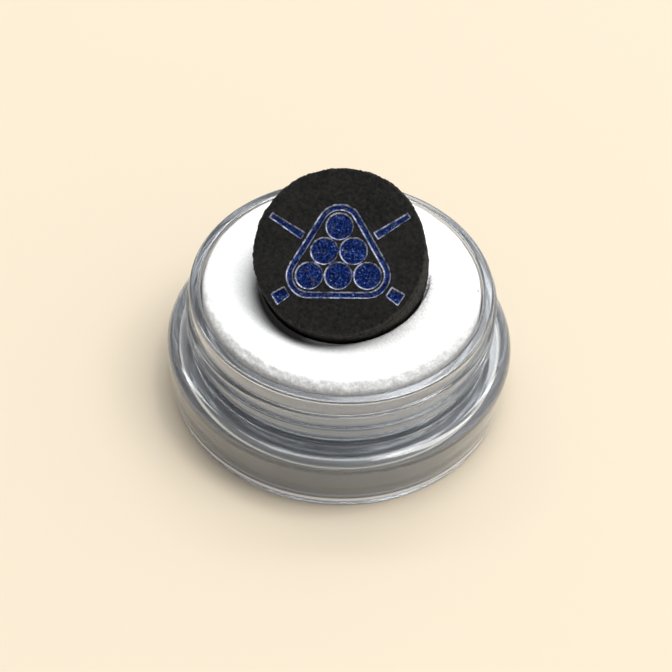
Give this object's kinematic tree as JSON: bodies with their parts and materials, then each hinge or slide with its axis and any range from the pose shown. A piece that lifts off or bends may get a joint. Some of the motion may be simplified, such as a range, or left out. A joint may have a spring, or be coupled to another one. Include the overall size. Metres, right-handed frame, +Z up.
{
  "type": "cue tip in a screw-neck jar",
  "caption": "Round laminated leather cue tip with a blue foil stamp, pushed at a slant into a white foam pad in a small clear screw-neck jar without its lid.",
  "frame": {"origin": "centre of the jar's foot, on the surface it stands on", "axes": "+Z up along the jar's axis, -Y towards the side that the tip's stamped face leans to, +X to the right seen from that side"},
  "size_m": [0.0288, 0.0288, 0.02],
  "materials": {
    "clear_plastic": "gloss",
    "white_foam": "matte",
    "black_leather": "matte",
    "blue_foil": "satin"
  },
  "bodies": {
    "jar": {"jar_body": "clear_plastic"},
    "pad": {"foam_pad": "white_foam"},
    "tip": {"leather_ply_1": "black_leather", "leather_ply_2": "black_leather", "leather_ply_3": "black_leather", "leather_ply_4": "black_leather", "leather_ply_5": "black_leather", "leather_ply_6": "black_leather", "leather_ply_7": "black_leather", "leather_ply_8": "black_leather", "foil_stamp": "blue_foil"}
  },
  "joints": [
    {"name": "pad_lift", "type": "slide", "parent": "jar", "child": "pad", "axis": [0, 0, 1], "range_m": [0, 0.012]},
    {"name": "tip_pull", "type": "slide", "parent": "pad", "child": "tip", "axis": [-0.1028, -0.5093, 0.8544], "range_m": [0, 0.012]}
  ]
}
